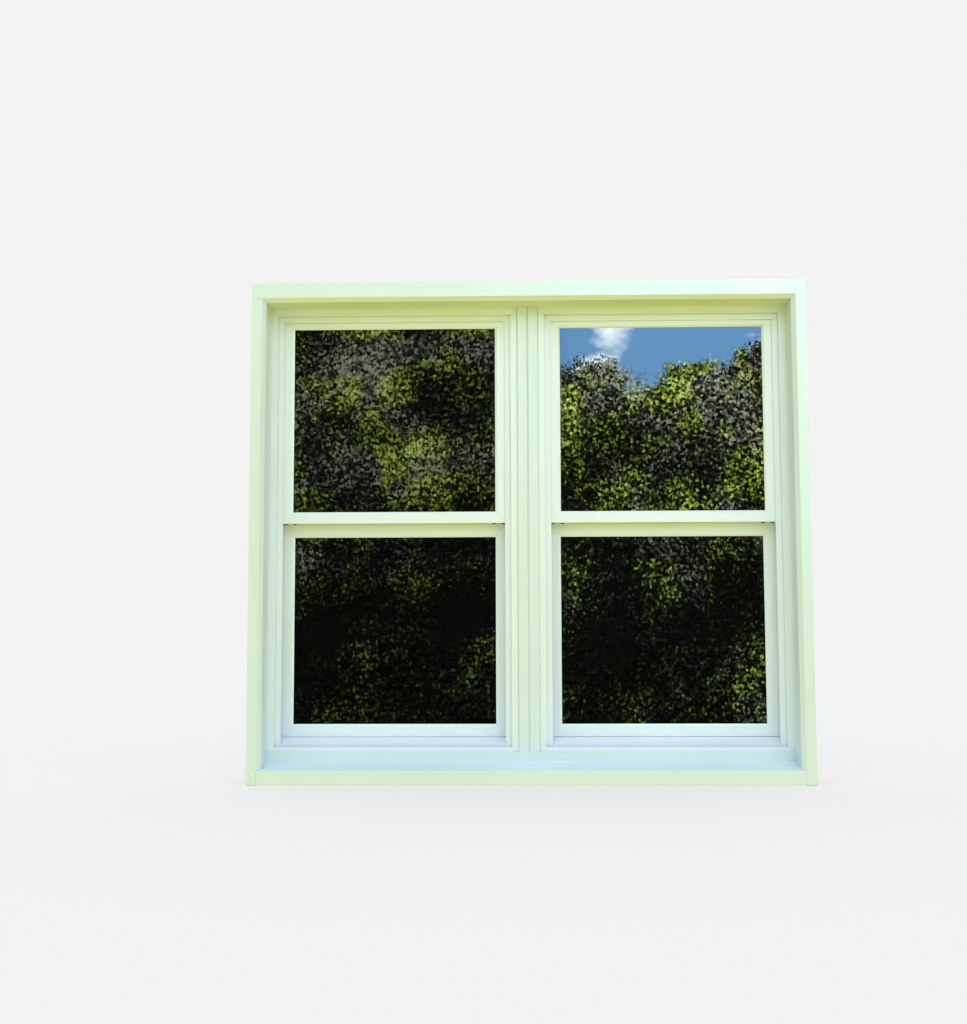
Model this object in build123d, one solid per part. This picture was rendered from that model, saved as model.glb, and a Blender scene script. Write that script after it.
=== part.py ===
# Twin double-hung sash window: two vinyl units side by side in a wooden frame
# whose casing, reveals, mullion and sill are capped with formed aluminium sheet.
# X runs along the wall, Y from the outside to the room, Z up. Millimetres.
import os
from build123d import *

os.makedirs("parts", exist_ok=True)

# Opening between the capped reveals, and the casing round it
OPENING_W = 1430.0
OPENING_H = 1266.0
CASING_FACE = 27.0
HEAD_FACE = 40.0
BEVEL = 11.0
CASING_T = 32.0
CASING_REBATE = 3.0
REVEAL = 87.0
SILL_FRONT = 38.0
SILL_RISE = 19.0
SILL_RISER = 23.0
SILL_RIDGE = 7.0
SILL_T = 32.0
CAP = 1.0
CAP_FOOT = 1.0
HEM = 8.0
COVER = 5.0
SHIM = 3.0
BOARD = 19.0
BOARD_PROUD = 4.0
MULL = 54.0
MULL_PROUD = 6.0
MULL_GROOVE = 3.0

# Vinyl master frame: legs and tracks, from the outside to the room
SCREEN_TRACK = 12.0
OUTER_LEG = 3.5
SASH_T = 32.0
SASH_PLAY = 0.75
PARTING_FIN = 3.5
INNER_LEG = 4.0
# and how far each part of the section reaches in from the frame's outer edge
FACE_REACH = 25.0
OUTER_REACH = 41.5
FIN_REACH = 36.5
INNER_REACH = 35.0
WEB_REACH = 31.0
HEAD_WEB_REACH = 24.0
WEB_T = 4.0
POCKET_DEEP = 20.0
POCKET_W = 22.0
SLOT_W = 9.0
# Sill of the master frame
NOSE_H = 18.0
SILL_LIP = 3.0
SILL_BED = 41.0
SILL_DAM = 58.0

# Sashes
SASH_GAP = 1.0
UPPER_SASH_H = 573.5
CHECK_LAP = 27.5
STILE = 36.5
TOP_RAIL = 28.0
MEETING_RAIL = 31.5
CHECK_RAIL = 64.0
BOTTOM_RAIL = 34.5
GLAZING_LIP = 6.0
LIP_T = 5.0
LIP_BEVEL = 3.5
GLASS_BITE = 12.0
GLASS_PLAY = 2.0
PANE_T = 3.0
CAVITY = 13.0
SPACER_H = 8.0
BEAD_NOSE = 3.0
WEDGE = 4.0
WEDGE_TIP = 1.2
WEDGE_RISE = 5.0
WEDGE_LEVEL = {"upper": 1.0, "lower": 12.0}
LIFT = 6.0
LIFT_T = 4.0

# Balance hardware in the jamb pockets
SHOE_H = 40.0
SHOE_PLAY = 0.5
COIL_R = 10.0
COIL_H = 60.0
COIL_ABOVE = 110.0
COIL_DEEP = 14.0
TAPE_T = 0.4
TAPE_W = 12.0
PIVOT_BAR = 44.0
PIVOT_H = 9.0
PIVOT_W = 7.0
PIVOT_SCREW_GAP = 25.5
PIVOT_SCREW_R = 2.2

# Tilt latches
LATCH_L = 48.0
LATCH_W = 10.0
LATCH_H = 9.0
LATCH_TIP = 9.0
LATCH_TIP_W = 7.0
LATCH_TRAVEL = 10.0
LATCH_PLAY = 0.3
LATCH_KNOB = 2.5

# Cam lock and keeper at the meeting rails
LOCK_L = 62.0
LOCK_W = 22.0
LOCK_H = 12.0
CAM_R = 15.5
CAM_T = 4.0
CAM_W = 9.0
LEVER_L = 46.0
LEVER_T = 5.0
HUB_R = 8.0
LOCK_SET = 14.0
PIN_R = 4.0
PIN_PLAY = 0.05
KEEPER_L = 46.0
KEEPER_T = 1.5
KEEPER_REACH = 4.2
KEEPER_DROP = 16.0

# Screws that hold each unit to the wooden frame
SCREW_R = 2.2
SCREW_HEAD_R = 4.2
SCREW_HEAD_T = 2.6
SCREW_GRIP = 16.0
SCREW_UP = 85.0
SCREW_DOWN = 110.0

# Levels and places worked out from the sizes above
REVEAL_X = OPENING_W / 2
CASING_X = REVEAL_X + BEVEL + CASING_FACE
SOFFIT_Z = SILL_FRONT + OPENING_H
HEAD_Z = SOFFIT_Z + BEVEL + HEAD_FACE
SILL_BACK_Z = SILL_FRONT + SILL_RISE
SILL_TOP_Z = SILL_BACK_Z + SILL_RISER
RISER_Y = REVEAL - SILL_RIDGE - CAP
UNIT_W = (OPENING_W - MULL) / 2 + 2 * COVER
UNIT_Z0 = SILL_TOP_Z - COVER
UNIT_Z1 = SOFFIT_Z + COVER
UNIT_H = UNIT_Z1 - UNIT_Z0
UNIT_X = MULL / 2 - COVER + UNIT_W / 2
TRACK = SASH_T + 2 * SASH_PLAY
TRACK_1 = SCREEN_TRACK + OUTER_LEG
FIN_Y = TRACK_1 + TRACK
TRACK_2 = FIN_Y + PARTING_FIN
INNER_Y = TRACK_2 + TRACK
FRAME_D = INNER_Y + INNER_LEG
BOARD_BACK = REVEAL + FRAME_D + BOARD_PROUD
BOARD_X = REVEAL_X + COVER + SHIM
UPPER_Y = REVEAL + TRACK_1 + SASH_PLAY
LOWER_Y = REVEAL + TRACK_2 + SASH_PLAY
SASH_W = UNIT_W - 2 * (WEB_REACH + SASH_GAP)
UPPER_Z1 = UNIT_Z1 - WEB_REACH - SASH_GAP
UPPER_Z0 = UPPER_Z1 - UPPER_SASH_H
COIL_Z = UPPER_Z0 + COIL_ABOVE
LOWER_Z0 = UNIT_Z0 + SILL_BED + SASH_GAP
LOWER_Z1 = UPPER_Z0 + CHECK_LAP
LOWER_SASH_H = LOWER_Z1 - LOWER_Z0
GLASS_T = 2 * PANE_T + CAVITY
SASH_RAILS = {"upper": (MEETING_RAIL, TOP_RAIL), "lower": (BOTTOM_RAIL, CHECK_RAIL)}
SASH_PLACE = {"upper": (UPPER_Y, UPPER_Z0, UPPER_SASH_H), "lower": (LOWER_Y, LOWER_Z0, LOWER_SASH_H)}
# The assembly is centred front to back on its own depth
HOME = Location((0, -BOARD_BACK / 2, 0))


def block(x0, x1, y0, y1, z0, z1):
    return Pos((x0 + x1) / 2, (y0 + y1) / 2, (z0 + z1) / 2) * Box(x1 - x0, y1 - y0, z1 - z0)


def run_x(section, x0, x1):
    """A bar along X from x0 to x1; section points are (y, z)."""
    wire = Wire.make_polygon([Vector(x0, y, z) for y, z in section], close=True)
    return Solid.extrude(Face(wire), Vector(x1 - x0, 0, 0))


def run_y(section, y0, y1):
    """A plate seen from the front, from y0 to y1; section points are (x, z)."""
    wire = Wire.make_polygon([Vector(x, y0, z) for x, z in section], close=True)
    return Solid.extrude(Face(wire), Vector(0, y1 - y0, 0))


def run_z(section, z0, z1):
    """An upright bar from z0 to z1; section points are (x, y)."""
    wire = Wire.make_polygon([Vector(x, y, z0) for x, y in section], close=True)
    return Solid.extrude(Face(wire), Vector(0, 0, z1 - z0))


def rod_x(x0, x1, y, z, radius):
    return Pos((x0 + x1) / 2, y, z) * Rot(0, 90, 0) * Cylinder(radius, abs(x1 - x0))


def rod_z(x, y, z0, z1, radius):
    return Pos(x, y, (z0 + z1) / 2) * Cylinder(radius, z1 - z0)


def bent_sheet(path, thickness):
    """Outline of a folded sheet: the path, then back along it a thickness to its left."""
    def left_of(a, b):
        run = Vector(b[0] - a[0], b[1] - a[1], 0).normalized()
        return Vector(-run.Y, run.X, 0)

    sides = [left_of(a, b) for a, b in zip(path, path[1:])]
    back = []
    for i, point in enumerate(path):
        before, after = sides[max(i - 1, 0)], sides[min(i, len(sides) - 1)]
        mitre = (before + after) * (thickness / (1 + before.dot(after)))
        back.append((point[0] + mitre.X, point[1] + mitre.Y))
    return list(path) + back[::-1]


def mitred_bar(section, length, reach, ends):
    """Bar along X with its outer edge at z = 0; each end is (rise, run) of its mitre or None."""
    half, far = length / 2, 2 * reach
    bar = run_x(section, -half, half)
    shifts = [0 if end is None else far * end[1] / end[0] for end in ends]
    depth = [y for y, _ in section]
    wedge = [(-half, 0), (half, 0), (half - shifts[1], far), (-half + shifts[0], far)]
    return bar & run_y(wedge, min(depth) - 1, max(depth) + 1)


def welded_frame(sections, widths, width, height):
    """Four mitred bars fused at their corners, centred on X and Z.

    sections and widths are given for the bottom, left, top and right bars.
    """
    frame = None
    for i, (section, turn) in enumerate(zip(sections, (0, 90, 180, -90))):
        before, after = widths[(i + 1) % 4], widths[(i - 1) % 4]
        length, across = (width, height) if i % 2 == 0 else (height, width)
        bar = mitred_bar(section, length, widths[i], ((widths[i], before), (widths[i], after)))
        bar = Rot(0, turn, 0) * Pos(0, 0, -across / 2) * bar
        frame = bar if frame is None else frame + bar
    return frame


def mirrored(shape):
    return shape.mirror(Plane.YZ)


def jamb_cap():
    """Right-hand cap: outer return, face, bevel and reveal, folded from one sheet."""
    path = [(CASING_X, HEM), (CASING_X, 0), (REVEAL_X + BEVEL, 0), (REVEAL_X, BEVEL), (REVEAL_X, REVEAL)]
    sheet = run_z(bent_sheet(path[::-1], CAP), CAP_FOOT, SOFFIT_Z + BEVEL)
    front = [(REVEAL_X, 0), (REVEAL_X, SOFFIT_Z), (REVEAL_X + BEVEL, SOFFIT_Z + BEVEL)]
    front += [(CASING_X, SOFFIT_Z + BEVEL), (CASING_X, 0)]
    sheet = sheet & run_y(front, 0, REVEAL)
    return sheet - run_x(sill_form(0), 0, REVEAL_X + BEVEL)


def head_cap():
    path = [(HEM, HEAD_Z), (0, HEAD_Z), (0, SOFFIT_Z + BEVEL), (BEVEL, SOFFIT_Z), (REVEAL, SOFFIT_Z)]
    sheet = run_x(bent_sheet(path, CAP), -CASING_X, CASING_X)
    half = [(REVEAL_X, SOFFIT_Z), (REVEAL_X + BEVEL, SOFFIT_Z + BEVEL)]
    half += [(CASING_X, SOFFIT_Z + BEVEL), (CASING_X, HEAD_Z)]
    front = [(-x, z) for x, z in half] + half[::-1]
    return sheet & run_y(front, 0, REVEAL)


def sill_form(inset):
    """Outline (y, z) of the sill that the cap wraps, the cap's thickness inside it or not."""
    return [(inset, 0), (inset, SILL_FRONT - inset), (RISER_Y + inset, SILL_BACK_Z - inset),
            (RISER_Y + inset, SILL_TOP_Z - inset), (REVEAL, SILL_TOP_Z - inset), (REVEAL, 0)]


def sill_cap():
    """Hemmed front, sloping top and riser, folded from one sheet between the jamb caps."""
    path = [(HEM, CAP_FOOT), (0, CAP_FOOT), (0, SILL_FRONT), (RISER_Y, SILL_BACK_Z), (RISER_Y, SILL_TOP_Z)]
    sheet = run_x(bent_sheet((path + [(REVEAL, SILL_TOP_Z)])[::-1], CAP), -CASING_X, CASING_X)
    lower, upper = REVEAL_X + BEVEL, REVEAL_X
    front = [(-lower, 0), (-lower, SILL_FRONT), (-upper, SILL_FRONT + BEVEL), (-upper, SILL_TOP_Z)]
    front += [(upper, SILL_TOP_Z), (upper, SILL_FRONT + BEVEL), (lower, SILL_FRONT), (lower, 0)]
    return sheet & run_y(front, 0, REVEAL)


def mull_cap():
    half, front = MULL / 2, REVEAL - MULL_PROUD - CAP
    path = [(-half, REVEAL), (-half, front), (-MULL_GROOVE, front), (0, front + MULL_GROOVE)]
    path += [(MULL_GROOVE, front), (half, front), (half, REVEAL)]
    return run_z(bent_sheet(path, CAP), SILL_TOP_Z, SOFFIT_Z)


def jamb_casing():
    """Right-hand casing board, bedded on the jamb's edge and rebated where its back bears on the wall."""
    inner, outer, jamb, seat = REVEAL_X + CAP, CASING_X - CAP, BOARD_X + BOARD, CASING_T + CASING_REBATE
    section = [(inner, BEVEL + CAP), (inner + BEVEL, CAP), (outer, CAP), (outer, CASING_T)]
    section += [(jamb, CASING_T), (jamb, seat), (inner, seat)]
    return run_z(section, 0, SOFFIT_Z + CAP) - run_x(sill_form(0), 0, REVEAL_X + BEVEL)


def head_casing():
    """Casing board across the head, bevelled on its lower arris."""
    low, high, outer = SOFFIT_Z + CAP, HEAD_Z - CAP, CASING_X - CAP
    section = [(BEVEL + CAP, low), (CAP, low + BEVEL), (CAP, high), (CASING_T, high), (CASING_T, low)]
    return run_x(section, -outer, outer)


def jamb_board():
    """Right-hand jamb: thick in front as the stop that the unit beds on, rebated behind it."""
    outer, edge = BOARD_X + BOARD, CASING_T + CASING_REBATE
    section = [(REVEAL_X + CAP, edge), (REVEAL_X + CAP, REVEAL), (BOARD_X, REVEAL)]
    section += [(BOARD_X, BOARD_BACK), (outer, BOARD_BACK), (outer, edge)]
    board = run_z(section, 0, SOFFIT_Z + CAP)
    return board - run_x(sill_form(0), 0, BOARD_X) - pilot_holes(1)


def head_board():
    """Head of the frame, with the same stop and rebate, resting on the jambs."""
    low, bed, outer = SOFFIT_Z + CAP, SOFFIT_Z + COVER + SHIM, BOARD_X + BOARD
    section = [(CASING_T, low), (REVEAL, low), (REVEAL, bed), (BOARD_BACK, bed)]
    section += [(BOARD_BACK, bed + BOARD), (CASING_T, bed + BOARD)]
    board = run_x(section, -outer, outer)
    for x0, x1 in ((-outer, -BOARD_X), (BOARD_X, outer)):
        board += block(x0, x1, REVEAL, BOARD_BACK, low, bed)
    return board


def sill_board():
    """Sloping sill with the ridge that the units bed on and the level seat behind it."""
    bed, form = UNIT_Z0 - SHIM, sill_form(CAP)
    section = [(CAP, CAP_FOOT + CAP)] + form[1:5] + [(REVEAL, bed), (BOARD_BACK, bed)]
    section += [(BOARD_BACK, bed - SILL_T), (CASING_T, CAP_FOOT + CAP)]
    return run_x(section, -BOARD_X, BOARD_X)


def mull_post():
    """Centre post with a wider stop in front, rebated for the unit on each side."""
    stem, cheek, front = MULL / 2 - COVER - SHIM, MULL / 2 - CAP, REVEAL - MULL_PROUD
    section = [(-cheek, front), (-cheek, REVEAL), (-stem, REVEAL), (-stem, REVEAL + FRAME_D)]
    section += [(stem, REVEAL + FRAME_D), (stem, REVEAL), (cheek, REVEAL), (cheek, front)]
    groove = MULL_GROOVE + CAP / 2
    section += [(groove, front), (0, front + groove), (-groove, front)]
    post = run_z(section, UNIT_Z0 - SHIM, SOFFIT_Z + COVER + SHIM)
    post -= block(-MULL, MULL, 0, REVEAL, 0, SILL_TOP_Z)
    post -= block(-MULL, MULL, 0, REVEAL, SOFFIT_Z, HEAD_Z)
    return post - pilot_holes(-1)


def jamb_section():
    """Jamb extrusion (depth, reach): stepped legs and two tracks over balance pockets."""
    pocket, mid = WEB_REACH - WEB_T - POCKET_DEEP, TRACK / 2
    section = [(0, 0), (0, FACE_REACH), (SCREEN_TRACK, FACE_REACH), (SCREEN_TRACK, OUTER_REACH)]
    for start, leg_end, reach in ((TRACK_1, OUTER_REACH, FIN_REACH), (TRACK_2, FIN_REACH, INNER_REACH)):
        slot, wide = SLOT_W / 2, POCKET_W / 2
        web, roof = WEB_REACH, WEB_REACH - WEB_T
        section += [(start, leg_end), (start, web), (start + mid - slot, web), (start + mid - slot, roof)]
        section += [(start + mid - wide, roof), (start + mid - wide, pocket)]
        section += [(start + mid + wide, pocket), (start + mid + wide, roof)]
        section += [(start + mid + slot, roof), (start + mid + slot, web)]
        section += [(start + TRACK, web), (start + TRACK, reach)]
    return section + [(FRAME_D, INNER_REACH), (FRAME_D, 0)]


def head_section():
    """Head extrusion (depth, reach): the same legs over two plain tracks."""
    section = [(0, 0), (0, FACE_REACH), (SCREEN_TRACK, FACE_REACH), (SCREEN_TRACK, OUTER_REACH)]
    section += [(TRACK_1, OUTER_REACH), (TRACK_1, HEAD_WEB_REACH), (FIN_Y, HEAD_WEB_REACH)]
    section += [(FIN_Y, FIN_REACH), (TRACK_2, FIN_REACH), (TRACK_2, HEAD_WEB_REACH)]
    return section + [(INNER_Y, HEAD_WEB_REACH), (INNER_Y, INNER_REACH), (FRAME_D, INNER_REACH), (FRAME_D, 0)]


def sill_section():
    """Sill extrusion (depth, reach): nose, two screen lips, slope, seat and inner dam."""
    step, top = SILL_LIP, NOSE_H
    section = [(0, 0), (0, top), (step, top), (step, top - step), (2 * step, top - step)]
    section += [(2 * step, top + step), (3 * step, top + step), (3 * step, top)]
    section += [(4 * step, top), (4 * step, top + 2 * step), (TRACK_2 - step, SILL_BED)]
    return section + [(INNER_Y, SILL_BED), (INNER_Y, SILL_DAM), (FRAME_D, SILL_DAM), (FRAME_D, 0)]


def unit_frame():
    """Welded master frame of one unit, centred on X, its outer face at the reveal's back."""
    mitre = (OUTER_REACH, OUTER_REACH)
    head = mitred_bar(head_section(), UNIT_W, OUTER_REACH, (mitre, mitre))
    frame = Pos(0, 0, UNIT_H / 2) * Rot(0, 180, 0) * head
    for turn, ends, side in ((90, (mitre, None), -1), (-90, (None, mitre), 1)):
        jamb = mitred_bar(jamb_section(), UNIT_H, OUTER_REACH, ends)
        frame += Pos(side * UNIT_W / 2, 0, 0) * Rot(0, turn, 0) * jamb
    frame += Pos(0, 0, -UNIT_H / 2) * run_x(sill_section(), -UNIT_W / 2, UNIT_W / 2)
    frame = Pos(0, REVEAL, (UNIT_Z0 + UNIT_Z1) / 2) * frame
    for side in (-1, 1):
        for screw_y, screw_z in screw_places():
            edge = side * UNIT_W / 2
            frame -= rod_x(edge, edge - side * WEB_REACH, screw_y, screw_z, SCREW_R + PIN_PLAY)
    return frame


def screw_places():
    """Depth and height of the screws through a jamb, each in the pocket that stays empty there."""
    return ((REVEAL + TRACK_1 + TRACK / 2, UNIT_Z0 + SCREW_UP), (REVEAL + TRACK_2 + TRACK / 2, UNIT_Z1 - SCREW_DOWN))


def pocket_floor():
    return WEB_REACH - WEB_T - POCKET_DEEP


def jamb_screw(unit, side, screw_y, screw_z):
    edge = unit * UNIT_X + side * UNIT_W / 2
    seat, z = edge - side * pocket_floor(), screw_z
    tip = edge + side * (SHIM + SCREW_GRIP)
    return rod_x(seat, tip, screw_y, z, SCREW_R) + rod_x(seat - side * SCREW_HEAD_T, seat, screw_y, z, SCREW_HEAD_R)


def frame_screws():
    shapes = []
    for unit in (-1, 1):
        for side in (-1, 1):
            shapes += [jamb_screw(unit, side, y, z) for y, z in screw_places()]
    return shapes


def pilot_holes(kind):
    """Holes for the screws: kind 1 for the right-hand jamb, -1 for the centre post."""
    holes = None
    for unit, side in (((1, 1),) if kind > 0 else ((1, -1), (-1, 1))):
        edge = unit * UNIT_X + side * UNIT_W / 2
        for y, z in screw_places():
            hole = rod_x(edge, edge + side * (SHIM + SCREW_GRIP), y, z, SCREW_R + PIN_PLAY)
            holes = hole if holes is None else holes + hole
    return holes


def sash_section(width):
    """Sash extrusion (depth, reach): outer lip over the glass, open towards the room."""
    wall = width - GLASS_BITE
    return [(0, 0), (0, width - GLAZING_LIP), (LIP_BEVEL, width), (LIP_T, width), (LIP_T, wall),
            (SASH_T, wall), (SASH_T, 0)]


def sash_sizes(which):
    """Bar widths bottom, left, top, right, and the sash's centre height."""
    bottom, top = SASH_RAILS[which]
    _, low, height = SASH_PLACE[which]
    return (bottom, STILE, top, STILE), low + height / 2


def latch_pocket(which, side):
    y, low, height = SASH_PLACE[which]
    top, mid = low + height, y + SASH_T / 2
    half = LATCH_W / 2 + LATCH_PLAY
    x0, x1 = SASH_W / 2 + 1, SASH_W / 2 - LATCH_L - LATCH_TRAVEL - 2 * LATCH_PLAY
    x0, x1 = sorted((side * x0, side * x1))
    return block(x0, x1, mid - half, mid + half, top - LATCH_H - LATCH_PLAY, top + 1)


def pivot_pocket(which, side):
    """Notch under the sash's bottom corner that the pivot bar is screwed into."""
    y, low, _ = SASH_PLACE[which]
    mid, x = y + SASH_T / 2, SASH_W / 2
    x0, x1 = sorted((side * (x - PIVOT_BAR), side * (x + 1)))
    return block(x0, x1, mid - PIVOT_W / 2, mid + PIVOT_W / 2, low - 1, low + PIVOT_H)


def wedges(which):
    """Sloping strips snapped onto the meeting rail, clear of the keeper: the pairs close together."""
    out = 1 if which == "upper" else -1
    face = SASH_PLACE[which][0] + (SASH_T if which == "upper" else 0)
    low = UPPER_Z0 + WEDGE_LEVEL[which]
    tip, high = face + out * WEDGE, low + out * WEDGE_RISE
    section = [(face, low), (tip, high), (tip, high + out * WEDGE_TIP), (face, low + out * 2 * WEDGE_TIP)]
    near, far = KEEPER_L / 2 + SASH_GAP, SASH_W / 2 - STILE
    return [run_x(section, -far, -near), run_x(section, near, far)]


def sash(which):
    """Welded sash frame notched for its hardware, with the strips of its meeting rail."""
    widths, middle = sash_sizes(which)
    y, low, height = SASH_PLACE[which]
    body = welded_frame([sash_section(w) for w in widths], widths, SASH_W, height)
    body = Pos(0, y, middle) * body
    if which == "lower":
        back, lift_z = y + SASH_T, low + BOTTOM_RAIL - GLASS_BITE
        lift = [(back, lift_z), (back + LIFT, lift_z), (back + LIFT, lift_z - LIFT_T)]
        lift += [(back + LIFT / 2, lift_z - LIFT_T / 2), (back, lift_z - LIFT_T / 2)]
        body = body + run_x(lift, STILE - SASH_W / 2, SASH_W / 2 - STILE) - lock_pin(PIN_PLAY)
    for side in (-1, 1):
        body = body - latch_pocket(which, side) - pivot_pocket(which, side)
    return [body, *wedges(which)]


def glass_size(which):
    """Width, height and centre height of the sealed glass."""
    widths, middle = sash_sizes(which)
    inset = GLASS_BITE - GLASS_PLAY
    _, low, height = SASH_PLACE[which]
    z0, z1 = low + widths[0] - inset, low + height - widths[2] + inset
    return SASH_W - 2 * (STILE - inset), z0, z1


def glass(which):
    """The two panes of the sealed unit, bedded on the sash's lip."""
    width, z0, z1 = glass_size(which)
    y = SASH_PLACE[which][0] + LIP_T
    starts = (y, y + PANE_T + CAVITY)
    return [block(-width / 2, width / 2, start, start + PANE_T, z0, z1) for start in starts]


def spacer(which):
    width, z0, z1 = glass_size(which)
    y = SASH_PLACE[which][0] + LIP_T + PANE_T
    outer = block(-width / 2, width / 2, y, y + CAVITY, z0, z1)
    edge = SPACER_H
    return outer - block(-width / 2 + edge, width / 2 - edge, y, y + CAVITY, z0 + edge, z1 - edge)


def beads(which):
    """Four snap-in glazing beads, mitred, on the room side of the glass."""
    widths, _ = sash_sizes(which)
    _, low, height = SASH_PLACE[which]
    y, wall = SASH_PLACE[which][0], GLASS_BITE
    z0, z1 = low + widths[0] - wall, low + height - widths[2] + wall
    half = SASH_W / 2 - STILE + wall
    start, end = LIP_T + GLASS_T, SASH_T
    section = [(start, 0), (start, wall), (start + BEAD_NOSE, wall), (end, wall / 2), (end, 0)]
    mitre = ((wall, wall), (wall, wall))
    shapes = []
    for i, turn in enumerate((0, 90, 180, -90)):
        length, across = (2 * half, z1 - z0) if i % 2 == 0 else (z1 - z0, 2 * half)
        bar = Rot(0, turn, 0) * Pos(0, 0, -across / 2) * mitred_bar(section, length, wall, mitre)
        shapes.append(Pos(0, y, (z0 + z1) / 2) * bar)
    return shapes


def shoe(which, side):
    """Balance shoe in its pocket, notched for the pivot bar."""
    y, low, _ = SASH_PLACE[which]
    mid, edge = y + SASH_T / 2, UNIT_W / 2
    floor, roof = edge - pocket_floor() - SHOE_PLAY, edge - (WEB_REACH - WEB_T) + SHOE_PLAY
    half, z0, z1 = POCKET_W / 2 - SHOE_PLAY, low, low + SHOE_H
    body = block(roof, floor, mid - half, mid + half, z0, z1)
    body -= block(roof - 1, roof + POCKET_DEEP / 2, mid - PIVOT_W / 2, mid + PIVOT_W / 2, low, low + PIVOT_H)
    return body if side > 0 else mirrored(body)


def pivot_bar(which, side):
    """Flat bar screwed up into the sash's corner, its end held in the shoe."""
    y, low, _ = SASH_PLACE[which]
    mid, x0, x1 = y + SASH_T / 2, SASH_W / 2 - PIVOT_BAR, UNIT_W / 2 - WEB_REACH + WEB_T + POCKET_DEEP / 2
    half = PIVOT_W / 2
    bar = block(x0, x1, mid - half, mid + half, low, low + PIVOT_H)
    for x in (x0 + half, x0 + half + PIVOT_SCREW_GAP):
        bar -= rod_z(x, mid, low - 1, low + PIVOT_H / 3, PIVOT_SCREW_R)
    return bar if side > 0 else mirrored(bar)


def coil(which, side):
    """Coil-spring housing screwed to the pocket's floor: a shell with a round window."""
    y = SASH_PLACE[which][0] + SASH_T / 2
    x0 = UNIT_W / 2 - pocket_floor() - COIL_DEEP
    x1, half = UNIT_W / 2 - pocket_floor(), POCKET_W / 2 - SHOE_PLAY
    body = block(x0, x1, y - half, y + half, COIL_Z - COIL_H / 2, COIL_Z + COIL_H / 2)
    mouth = block(x1 - 2 * TAPE_T, x1, y - TAPE_W / 2 - 1, y + TAPE_W / 2 + 1, 0, COIL_Z)
    body = body - mouth - rod_x(x0, x0 + COIL_DEEP / 3, y, COIL_Z + COIL_H / 6, COIL_R / 2)
    return body if side > 0 else mirrored(body)


def tape(which, side):
    """Spring tape from the shoe up into the coil's housing, flat on the pocket's floor."""
    y, low = SASH_PLACE[which][0] + SASH_T / 2, SASH_PLACE[which][1]
    x1 = UNIT_W / 2 - pocket_floor()
    z0, z1 = low + SHOE_H, COIL_Z - 2 * TAPE_T
    body = block(x1 - TAPE_T, x1, y - TAPE_W / 2, y + TAPE_W / 2, z0, z1)
    return body if side > 0 else mirrored(body)


def latch(which, side):
    """Spring bolt in the sash's top rail: body, thumb ridge and a tip in the jamb's slot."""
    y, low, height = SASH_PLACE[which]
    top, mid, edge = low + height, y + SASH_T / 2, SASH_W / 2
    z0 = top - LATCH_H
    body = block(edge - LATCH_L, edge, mid - LATCH_W / 2, mid + LATCH_W / 2, z0, top)
    tip = [(edge, mid - LATCH_TIP_W / 2), (edge + LATCH_TIP, mid - LATCH_TIP_W / 2)]
    tip += [(edge + LATCH_TIP, mid), (edge + LATCH_TIP / 2, mid + LATCH_TIP_W / 2), (edge, mid + LATCH_TIP_W / 2)]
    body += run_z(tip, z0 + LATCH_PLAY, top - LATCH_PLAY)
    ridge = edge - LATCH_L + LATCH_W
    body += block(ridge - LATCH_KNOB, ridge + LATCH_KNOB, mid - LATCH_W / 2, mid + LATCH_W / 2, top, top + LATCH_KNOB)
    return body if side > 0 else mirrored(body)


def lock_centre():
    return LOWER_Y + LOCK_SET


def lock_pin(play):
    """Bore in the check rail under the cam's hub, or the spigot in it where play is 0."""
    depth = GLASS_BITE
    return rod_z(0, lock_centre(), LOWER_Z1 - depth, LOWER_Z1, PIN_R + play)


def lock_base():
    """Low housing on the check rail, open underneath towards the outside for the cam."""
    y0, y1 = lock_centre() - LOCK_W / 2 + 2, LOWER_Y + SASH_T
    z0, z1 = LOWER_Z1, LOWER_Z1 + LOCK_H
    body = block(-LOCK_L / 2, LOCK_L / 2, y0, y1, z0, z1)
    body = fillet(body.edges().filter_by(Axis.Z), LOCK_W / 4)
    sweep_r = CAM_R + 1
    body -= rod_z(0, lock_centre(), z0, z0 + CAM_T + 2 * LATCH_PLAY, sweep_r)
    return body - rod_z(0, lock_centre(), z0, z1, PIN_R + PIN_PLAY)


def lock_lever():
    """Cam, spindle and thumb lever as one casting, drawn open: the cam points to the room."""
    y, z0 = lock_centre(), LOWER_Z1 + LATCH_PLAY
    top = LOWER_Z1 + LOCK_H + LATCH_PLAY
    spindle = rod_z(0, y, LOWER_Z1 - GLASS_BITE + LATCH_PLAY, top + LEVER_T, PIN_R)
    cam = rod_z(0, y, z0, z0 + CAM_T, CAM_R) & block(-CAM_W / 2, CAM_W / 2, y, y + CAM_R, z0, z0 + CAM_T)
    hub = rod_z(0, y, top, top + LEVER_T, HUB_R)
    lever = [(0, y - HUB_R), (-LEVER_L, y - HUB_R / 4), (-LEVER_L, y + HUB_R / 2), (0, y + HUB_R)]
    return spindle + cam + hub + run_z(lever, top, top + LEVER_T)


def keeper():
    """Plate on the upper sash's meeting rail with the shelf that the cam turns under."""
    y, shelf = UPPER_Y + SASH_T, LOWER_Z1 + LATCH_PLAY + CAM_T + LATCH_PLAY
    half, top = KEEPER_L / 2, shelf + KEEPER_T
    plate = block(-half, half, y, y + KEEPER_T, shelf - KEEPER_DROP, top)
    return plate + block(-half, half, y, y + KEEPER_REACH, shelf, top)


def pair(make, which):
    return [make(which, side) for side in (-1, 1)]


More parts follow.
